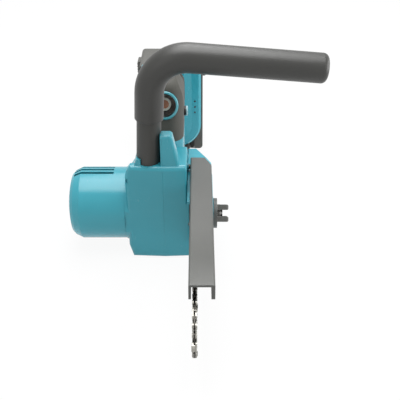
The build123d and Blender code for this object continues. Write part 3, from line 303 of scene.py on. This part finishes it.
# colours in screen bytes, edge in metres
mouldedLooks = {
    "tealHousing": {
        "colour": (55, 155, 171), "shade": (49, 149, 165), "pale": (120, 200, 210), "rough": 0.24,
        "grain": 2200.0, "depth": 0.06, "edge": 0.0007, "rub": 0.05, "wear": 0.10},
    "gripRubber": {
        "colour": (76, 75, 69), "shade": (66, 66, 61), "pale": (112, 111, 104), "rough": 0.62,
        "grain": 1600.0, "depth": 0.30, "edge": 0.0009, "rub": 0.35, "wear": 0.12, "specular": 0.4},
    "sleeveFoam": {
        "colour": (42, 42, 39), "shade": (36, 36, 33), "pale": (90, 90, 86), "rough": 0.41,
        "grain": 1100.0, "depth": 0.25, "edge": 0.0012, "rub": 0.2, "wear": 0.10, "specular": 0.64},
    "tubeCoat": {
        "colour": (54, 54, 51), "shade": (48, 48, 45), "pale": (110, 110, 104), "rough": 0.48,
        "grain": 1900.0, "depth": 0.22, "edge": 0.0006, "rub": 0.3, "wear": 0.15},
    "guardGrey": {
        "colour": (87, 88, 85), "shade": (81, 82, 79), "pale": (140, 142, 139), "rough": 0.36,
        "grain": 1700.0, "depth": 0.18, "edge": 0.0007, "rub": 0.5, "wear": 0.14},
    "knobGrey": {
        "colour": (90, 90, 87), "shade": (80, 80, 77), "pale": (136, 136, 132), "rough": 0.42,
        "grain": 1700.0, "depth": 0.18, "edge": 0.0007, "rub": 0.5, "wear": 0.16},
    "packGrey": {
        "colour": (86, 86, 82), "shade": (77, 77, 73), "pale": (130, 130, 126), "rough": 0.5,
        "grain": 1500.0, "depth": 0.25, "edge": 0.0009, "rub": 0.35, "wear": 0.14},
    "innerBlack": {
        "colour": (40, 40, 40), "shade": (32, 32, 32), "pale": (80, 80, 80), "rough": 0.5,
        "grain": 1500.0, "depth": 0.2, "edge": 0.0005, "rub": 0.3, "wear": 0.1},
    "triggerBlack": {
        "colour": (46, 46, 45), "shade": (38, 38, 37), "pale": (92, 92, 90), "rough": 0.46,
        "grain": 1600.0, "depth": 0.25, "edge": 0.0008, "rub": 0.4, "wear": 0.2},
    "lockBlack": {
        "colour": (26, 27, 29), "shade": (20, 21, 23), "pale": (70, 72, 74), "rough": 0.4,
        "grain": 1600.0, "depth": 0.2, "edge": 0.0005, "rub": 0.3, "wear": 0.12},
    "lockPale": {
        "colour": (140, 180, 186), "shade": (128, 168, 176), "pale": (200, 222, 226), "rough": 0.3,
        "grain": 1800.0, "depth": 0.1, "edge": 0.0005, "rub": 0.3, "wear": 0.1},
    "lampTeal": {
        "colour": (72, 156, 168), "shade": (64, 146, 158), "pale": (150, 208, 214), "rough": 0.22,
        "grain": 2000.0, "depth": 0.05, "edge": 0.0006, "rub": 0.4, "wear": 0.05, "coat": 0.3},
    "lampCup": {
        "colour": (52, 55, 53), "shade": (42, 45, 44), "pale": (110, 112, 110), "rough": 0.3,
        "grain": 1800.0, "depth": 0.08, "edge": 0.0004, "rub": 0.3, "wear": 0.05},
    "lampPale": {
        "colour": (240, 240, 228), "shade": (228, 228, 214), "pale": (250, 250, 242), "rough": 0.32,
        "grain": 1800.0, "depth": 0.05, "edge": 0.0003, "rub": 0.2, "wear": 0.05},
    "ledAmber": {
        "colour": (206, 146, 116), "shade": (186, 122, 92), "pale": (232, 190, 164), "rough": 0.35,
        "grain": 2600.0, "depth": 0.3, "edge": 0.0003, "rub": 0.2, "wear": 0.0},
    "footRubber": {
        "colour": (52, 52, 50), "shade": (44, 44, 42), "pale": (84, 84, 80), "rough": 0.7,
        "grain": 1300.0, "depth": 0.35, "edge": 0.0006, "rub": 0.3, "wear": 0.1, "specular": 0.3},
    "cellWrap": {
        "colour": (64, 116, 156), "shade": (56, 104, 142), "pale": (110, 160, 196), "rough": 0.3,
        "grain": 1400.0, "depth": 0.06, "edge": 0.0005, "rub": 0.3, "wear": 0.1, "coat": 0.3},
    "boardGreen": {
        "colour": (34, 96, 64), "shade": (26, 80, 52), "pale": (150, 160, 110), "rough": 0.35,
        "grain": 1200.0, "depth": 0.15, "edge": 0.0003, "rub": 0.4, "wear": 0.05},
}
metalLooks = {
    "barSteel": {
        "colour": (172, 172, 168), "shade": (120, 120, 118), "pale": (214, 214, 210), "rough": 0.34,
        "stretch": (1.0, 0.05, 1.0), "depth": 0.15, "edge": 0.0004, "rub": 0.5, "wear": 0.15},
    "chainSteel": {
        "colour": (196, 194, 186), "shade": (112, 110, 104), "pale": (236, 235, 230), "rough": 0.28,
        "stretch": (1.0, 1.0, 0.4), "depth": 0.2, "edge": 0.00025, "rub": 0.5, "wear": 0.2},
    "chainDark": {
        "colour": (84, 82, 78), "shade": (44, 43, 41), "pale": (170, 168, 162), "rough": 0.36,
        "stretch": (1.0, 1.0, 0.4), "depth": 0.2, "edge": 0.00025, "rub": 0.5, "wear": 0.2},
    "turnedSteel": {
        "colour": (170, 170, 168), "shade": (128, 128, 126), "pale": (212, 212, 210), "rough": 0.3,
        "stretch": (0.1, 1.0, 1.0), "depth": 0.12, "edge": 0.0003, "rub": 0.5, "wear": 0.12},
    "bearingSteel": {
        "colour": (190, 190, 190), "shade": (150, 150, 150), "pale": (228, 228, 228), "rough": 0.18,
        "stretch": (0.2, 1.0, 1.0), "depth": 0.06, "edge": 0.0003, "rub": 0.4, "wear": 0.08},
    "castAluminium": {
        "colour": (172, 172, 170), "shade": (142, 142, 140), "pale": (206, 206, 204), "rough": 0.5,
        "stretch": (1.0, 1.0, 1.0), "depth": 0.35, "edge": 0.0006, "rub": 0.4, "wear": 0.1},
    "coreSteel": {
        "colour": (104, 104, 106), "shade": (72, 72, 74), "pale": (150, 150, 152), "rough": 0.42,
        "stretch": (6.0, 0.2, 0.2), "depth": 0.3, "edge": 0.0003, "rub": 0.3, "wear": 0.1},
    "copperWire": {
        "colour": (196, 118, 66), "shade": (142, 78, 40), "pale": (232, 166, 116), "rough": 0.3,
        "stretch": (0.1, 3.0, 3.0), "depth": 0.5, "edge": 0.0004, "rub": 0.3, "wear": 0.05},
}
finishes = {name: mouldedFinish(name, look, mouldedBasis) for name, look in mouldedLooks.items()}
finishes.update({name: metalFinish(name, look, metalBasis) for name, look in metalLooks.items()})

# clear lens: plain glass with a trace of dust in its roughness
lensLook = {"colour": (0.96, 0.98, 0.98, 1.0), "transmission": 1.0, "ior": 1.3, "alpha": 0.15,
            "dustScale": 420.0, "dustDetail": 3.0, "dust": (0.5, 0.8), "rough": (0.03, 0.16)}


def lensFinish(name, look):
    material, tree, shader, spot = startMaterial(name)
    shader.inputs["Base Color"].default_value = look["colour"]
    shader.inputs["Transmission Weight"].default_value = look["transmission"]
    shader.inputs["IOR"].default_value = look["ior"]
    shader.inputs["Alpha"].default_value = look["alpha"]
    dust = noiseNode(tree, spot, look["dustScale"], look["dustDetail"])
    rough = rangeNode(tree, dust, look["dust"], look["rough"])
    tree.links.new(rough, shader.inputs["Roughness"])
    return material


finishes["lensClear"] = lensFinish("lensClear", lensLook)
print("finishes made:", len(finishes))

dressing = {
    "tealHousing": ("left_housing", "right_housing", "motor_cover", "sprocket_cover"),
    "gripRubber": ("grip_overmould",),
    "sleeveFoam": ("handle_sleeve",),
    "tubeCoat": ("handle_tube",),
    "guardGrey": ("chain_guard",),
    "knobGrey": ("bar_knob",),
    "packGrey": ("battery_case", "battery_cover", "left_latch", "right_latch"),
    "innerBlack": ("tube_plug", "cooling_fan", "trigger_switch", "terminal_block"),
    "triggerBlack": ("trigger",),
    "lockBlack": ("lock_button",),
    "lockPale": ("lock_cap",),
    "lampTeal": ("lamp_bezel",),
    "lampCup": ("lamp_reflector",),
    "lampPale": ("lamp_ring",),
    "ledAmber": ("led_chip",),
    "lensClear": ("lamp_lens",),
    "footRubber": ("rear_feet",),
    "cellWrap": ("battery_cells",),
    "boardGreen": ("controller_board",),
    "barSteel": ("guide_bar",),
    "chainSteel": ("chain_cutters", "chain_tie_straps"),
    "chainDark": ("chain_drive_links", "guard_pin", "bar_pad"),
    "turnedSteel": (
        "housing_screws", "bar_stud", "trigger_pin", "output_shaft", "drive_gear", "chain_sprocket",
        "sprocket_washer", "sprocket_clip", "motor_shaft", "pinion", "tension_nut", "tension_screw",
        "knob_insert"),
    "bearingSteel": ("output_bearings", "motor_bearings"),
    "castAluminium": ("gear_case", "gear_case_lid"),
    "coreSteel": ("stator_core", "rotor_core"),
    "copperWire": ("stator_windings",),
}
for finish, names in dressing.items():
    for name in names:
        mesh = nodes[name].data
        mesh.materials.clear()
        mesh.materials.append(finishes[finish])
dressed = {name for names in dressing.values() for name in names}
print("nodes dressed:", len(dressed), "left:", sorted(set(nodes) - dressed))

# how finely the small mouldings on the shells are made
mouldingDetail = {"merge": 1e-7, "barRounding": 3, "discSides": 32, "discRounding": 2}


def closeForm(form):
    bmesh.ops.remove_doubles(form, verts=form.verts, dist=mouldingDetail["merge"])
    bmesh.ops.recalc_face_normals(form, faces=form.faces)


def placePiece(name, form, finish, body):
    mesh = bpy.data.meshes.new(name)
    form.to_mesh(mesh)
    form.free()
    mesh.materials.append(finishes[finish])
    piece = bpy.data.objects.new(name, mesh)
    bpy.context.scene.collection.objects.link(piece)
    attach(piece, body)


def finishPiece(name, form, finish, body):
    closeForm(form)
    placePiece(name, form, finish, body)


def softBar(form, middle, size, soft):
    verts = bmesh.ops.create_cube(form, size=1.0)["verts"]
    bmesh.ops.scale(form, vec=size, verts=verts)
    bmesh.ops.translate(form, vec=middle, verts=verts)
    edges = list({edge for vert in verts for edge in vert.link_edges})
    bmesh.ops.bevel(form, geom=edges, offset=soft, segments=mouldingDetail["barRounding"], profile=0.5,
                    affect="EDGES", material=-1)


# a disc that faces along Y, its rims being the edges between a flat end and the round side
def softDisc(form, middle, radius, depth, soft):
    verts = bmesh.ops.create_cone(form, cap_ends=True, segments=mouldingDetail["discSides"],
                                  radius1=radius, radius2=radius, depth=depth)["verts"]
    edges = {edge for vert in verts for edge in vert.link_edges}
    rims = [edge for edge in edges if len({len(face.verts) for face in edge.link_faces}) == 2]
    turn = Matrix.Rotation(math.radians(90), 4, "X")
    bmesh.ops.rotate(form, cent=(0, 0, 0), matrix=turn, verts=verts)
    bmesh.ops.translate(form, vec=middle, verts=verts)
    bmesh.ops.bevel(form, geom=rims, offset=soft, segments=mouldingDetail["discRounding"], profile=0.5,
                    affect="EDGES", material=-1)


# ribs across the sunk panel in the battery's back
packRibLook = {"back": 0.2176, "sunk": 0.0003, "lowest": 0.019, "step": 0.0052, "count": 8,
               "size": (0.036, 0.0014, 0.0022), "soft": 0.0006}


def buildPackRibs(look):
    form = bmesh.new()
    for number in range(look["count"]):
        middle = (0, look["back"] - look["sunk"], look["lowest"] + look["step"] * number)
        softBar(form, middle, look["size"], look["soft"])
    finishPiece("packRibs", form, "packGrey", "battery")


buildPackRibs(packRibLook)

# charge lights and their button above the ribs
packGaugeLook = {"back": 0.2172, "row": 0.075, "step": 0.0068, "count": 4, "first": -0.0148,
                 "window": (0.0044, 0.0008, 0.0026), "windowSoft": 0.0003,
                 "buttonX": 0.0145, "buttonRadius": 0.0034, "buttonDepth": 0.0013, "buttonSoft": 0.0004}


def buildPackGauge(look):
    form = bmesh.new()
    for number in range(look["count"]):
        middle = (look["first"] + look["step"] * number, look["back"], look["row"])
        softBar(form, middle, look["window"], look["windowSoft"])
    finishPiece("packWindows", form, "ledAmber", "battery")
    form = bmesh.new()
    middle = (look["buttonX"], look["back"], look["row"])
    softDisc(form, middle, look["buttonRadius"], look["buttonDepth"], look["buttonSoft"])
    finishPiece("packButton", form, "innerBlack", "battery")


buildPackGauge(packGaugeLook)

# finger ribs on the two battery latches
latchRibLook = {"face": 0.0373, "y": 0.193, "heights": (0.0845, 0.0875, 0.0905, 0.0935),
                "size": (0.0012, 0.0104, 0.0013), "soft": 0.0004}


def buildLatchRibs(look):
    for body, side in (("left_latch", -1), ("right_latch", 1)):
        form = bmesh.new()
        for z in look["heights"]:
            softBar(form, (side * look["face"], look["y"], z), look["size"], look["soft"])
        finishPiece(body + "_ribs", form, "packGrey", body)


buildLatchRibs(latchRibLook)

# ribs across the trigger's face, each with its depth and height
triggerRibLook = {"ribs": ((0.05687, 0.0965), (0.05732, 0.094), (0.05778, 0.0915)),
                  "size": (0.0088, 0.0012, 0.0012), "soft": 0.0004}


def buildTriggerRibs(look):
    form = bmesh.new()
    for y, z in look["ribs"]:
        softBar(form, (0, y, z), look["size"], look["soft"])
    finishPiece("triggerRibs", form, "triggerBlack", "trigger")


buildTriggerRibs(triggerRibLook)

# stiffening ribs moulded on the sprocket cover behind the knob, each with its height and two ends
coverRibLook = {"face": 0.0415, "sunk": 0.0003, "width": 0.0026, "rise": 0.0011, "soft": 0.0007,
                "ribs": ((0.024, 0.0, 0.024), (0.031, 0.0, 0.031), (0.038, 0.0, 0.034), (0.045, 0.0, 0.036))}


def buildCoverRibs(look):
    form = bmesh.new()
    for z, start, end in look["ribs"]:
        middle = (look["face"] + look["rise"] / 2 - look["sunk"], (start + end) / 2, z)
        size = (look["rise"] + 2 * look["sunk"], end - start, look["width"])
        softBar(form, middle, size, look["soft"])
    finishPiece("coverRibs", form, "tealHousing", "body")


buildCoverRibs(coverRibLook)

# three plain lights down the foot's edge
footLightLook = {"x": 0.0256, "y": 0.15, "heights": (0.067, 0.0605, 0.054), "radius": 0.0009,
                 "depth": 0.0008, "soft": 0.0002}


def buildFootLights(look):
    form = bmesh.new()
    for z in look["heights"]:
        softDisc(form, (look["x"], look["y"], z), look["radius"], look["depth"], look["soft"])
    finishPiece("footLights", form, "lockBlack", "body")


buildFootLights(footLightLook)

# rubber tips under the two battery rails
railTipLook = {"x": 0.022, "y": 0.168, "low": 0.0012, "top": 0.0202, "size": (0.0045, 0.0062),
               "soft": 0.0006}


def buildRailTips(look):
    form = bmesh.new()
    wide, deep = look["size"]
    for side in (-1, 1):
        middle = (side * look["x"], look["y"], (look["low"] + look["top"]) / 2)
        softBar(form, middle, (wide, deep, look["top"] - look["low"]), look["soft"])
    finishPiece("railTips", form, "footRubber", "body")


buildRailTips(railTipLook)

# black sheet behind the motor's vent slots, painted shade that darkens what the slots show; a line of x and
# radius turned about the motor's axis
ventShadeSheetLook = {"line": ((-0.0795, 0.0268), (-0.0735, 0.0293), (-0.0455, 0.0293)), "axisZ": 0.0385,
                  "wall": 0.0003, "steps": 64}


def buildVentShadeSheet(look):
    form = bmesh.new()
    verts = [form.verts.new((x, 0, look["axisZ"] + radius)) for x, radius in look["line"]]
    edges = [form.edges.new(pair) for pair in zip(verts, verts[1:])]
    bmesh.ops.spin(form, geom=verts + edges, cent=(0, 0, look["axisZ"]), axis=(1, 0, 0), angle=math.tau,
                   steps=look["steps"], use_merge=True)
    closeForm(form)
    bmesh.ops.solidify(form, geom=form.faces[:], thickness=look["wall"])
    # painted shade: this thin black sheet stands where the slots would show the motor's shaded inside
    placePiece("ventShadeSheet", form, "innerBlack", "body")


buildVentShadeSheet(ventShadeSheetLook)

# raised bands round the rubber grip, cut from the grip's own skin
gripBandLook = {"first": 0.092, "step": 0.0062, "count": 7, "width": 0.0026, "rise": 0.0007,
                "merge": 1e-6, "cut": 1e-7}


def cutGripBand(start, look):
    band = bmesh.new()
    band.from_mesh(nodes["grip_overmould"].data)
    bmesh.ops.remove_doubles(band, verts=band.verts, dist=look["merge"])
    for place, way in ((start, -1), (start + look["width"], 1)):
        skin = band.verts[:] + band.edges[:] + band.faces[:]
        bmesh.ops.bisect_plane(band, geom=skin, dist=look["cut"], plane_co=(0, place, 0),
                               plane_no=(0, way, 0), clear_outer=True)
    heights = [vert.co.z for vert in band.verts]
    core = Vector((0, start, (min(heights) + max(heights)) / 2))
    inner = [face for face in band.faces if face.normal.dot(face.calc_center_median() - core) < 0]
    bmesh.ops.delete(band, geom=inner, context="FACES")
    bmesh.ops.solidify(band, geom=band.faces[:], thickness=-look["rise"])
    return band


def buildGripBands(look):
    form = bmesh.new()
    for number in range(look["count"]):
        band = cutGripBand(look["first"] + look["step"] * number, look)
        part = bpy.data.meshes.new("gripBand")
        band.to_mesh(part)
        band.free()
        form.from_mesh(part)
        bpy.data.meshes.remove(part)
    placePiece("gripBands", form, "gripRubber", "body")


buildGripBands(gripBandLook)
print("fittings made")


# where the camera, a mirror or a lens looks straight at the surface
def seenMask(tree):
    path = tree.nodes.new("ShaderNodeLightPath")
    seen = mathNode(tree, "MAXIMUM", path.outputs["Is Camera Ray"], path.outputs["Is Transmission Ray"])
    return mathNode(tree, "MAXIMUM", seen, path.outputs["Is Glossy Ray"])


def mixSurface(tree, factor, first, second, output):
    mix = tree.nodes.new("ShaderNodeMixShader")
    tree.links.new(factor, mix.inputs["Fac"])
    tree.links.new(first, mix.inputs[1])
    tree.links.new(second, mix.inputs[2])
    tree.links.new(mix.outputs["Shader"], tree.nodes[output].inputs["Surface"])


# plain pale floor that still takes the saw's shadow
floorLook = {"size": 6.0, "colour": (0.8, 0.8, 0.8, 1.0), "rough": 0.9, "specular": 0.0, "glow": 0.93}


def buildFloor(look):
    form = bmesh.new()
    bmesh.ops.create_grid(form, x_segments=1, y_segments=1, size=look["size"] / 2)
    mesh = bpy.data.meshes.new("floor")
    form.to_mesh(mesh)
    form.free()
    floor = bpy.data.objects.new("floor", mesh)
    bpy.context.scene.collection.objects.link(floor)
    material = bpy.data.materials.new("floorPaper")
    material.use_nodes = True
    tree = material.node_tree
    shader = tree.nodes["Principled BSDF"]
    shader.inputs["Base Color"].default_value = look["colour"]
    shader.inputs["Roughness"].default_value = look["rough"]
    shader.inputs["Specular IOR Level"].default_value = look["specular"]
    glow = tree.nodes.new("ShaderNodeEmission")
    share = mathNode(tree, "MULTIPLY", seenMask(tree), look["glow"])
    mixSurface(tree, share, shader.outputs["BSDF"], glow.outputs["Emission"], "Material Output")
    mesh.materials.append(material)


buildFloor(floorLook)
print("floor laid")

# soft boxes overhead, in front on the left, low on the right and high behind
lampLooks = {
    "overheadBox": {
        "place": (0.02, 0.09, 1.15), "aim": (0.02, 0.09, 0.0), "size": (0.8, 1.05), "power": 13.5},
    "frontBox": {
        "place": (-0.75, -0.95, 0.75), "aim": (0.0, -0.03, 0.08), "size": (0.7, 0.7), "power": 0.8},
    "rearBox": {
        "place": (0.5, 0.0, 0.22), "aim": (0.02, 0.15, 0.07), "size": (0.5, 0.3), "power": 1.5},
    "backBox": {
        "place": (0.03, 0.98, 1.3), "aim": (0.03, -0.1, 0.06), "size": (0.55, 0.5), "power": 5.4},
}


def hangLamp(name, look):
    lamp = bpy.data.lights.new(name, "AREA")
    lamp.shape = "RECTANGLE"
    lamp.size, lamp.size_y = look["size"]
    lamp.energy = look["power"]
    holder = bpy.data.objects.new(name, lamp)
    holder.location = look["place"]
    aim = Vector(look["aim"]) - Vector(look["place"])
    holder.rotation_euler = aim.to_track_quat("-Z", "Y").to_euler()
    bpy.context.scene.collection.objects.link(holder)


for name, look in lampLooks.items():
    hangLamp(name, look)

# dim fill for the object, plain white wherever the room itself is seen or mirrored
roomLook = {"colour": (1.0, 1.0, 1.0, 1.0), "fill": 0.45, "wall": 1.0}


def buildRoom(look):
    room = bpy.data.worlds.new("whiteRoom")
    room.use_nodes = True
    tree = room.node_tree
    fill = tree.nodes["Background"]
    fill.inputs["Color"].default_value = look["colour"]
    fill.inputs["Strength"].default_value = look["fill"]
    wall = tree.nodes.new("ShaderNodeBackground")
    wall.inputs["Color"].default_value = look["colour"]
    wall.inputs["Strength"].default_value = look["wall"]
    mixSurface(tree, seenMask(tree), fill.outputs["Background"], wall.outputs["Background"], "World Output")
    bpy.context.scene.world = room


buildRoom(roomLook)
bpy.context.scene.view_settings.view_transform = "Standard"
print("lamps hung")
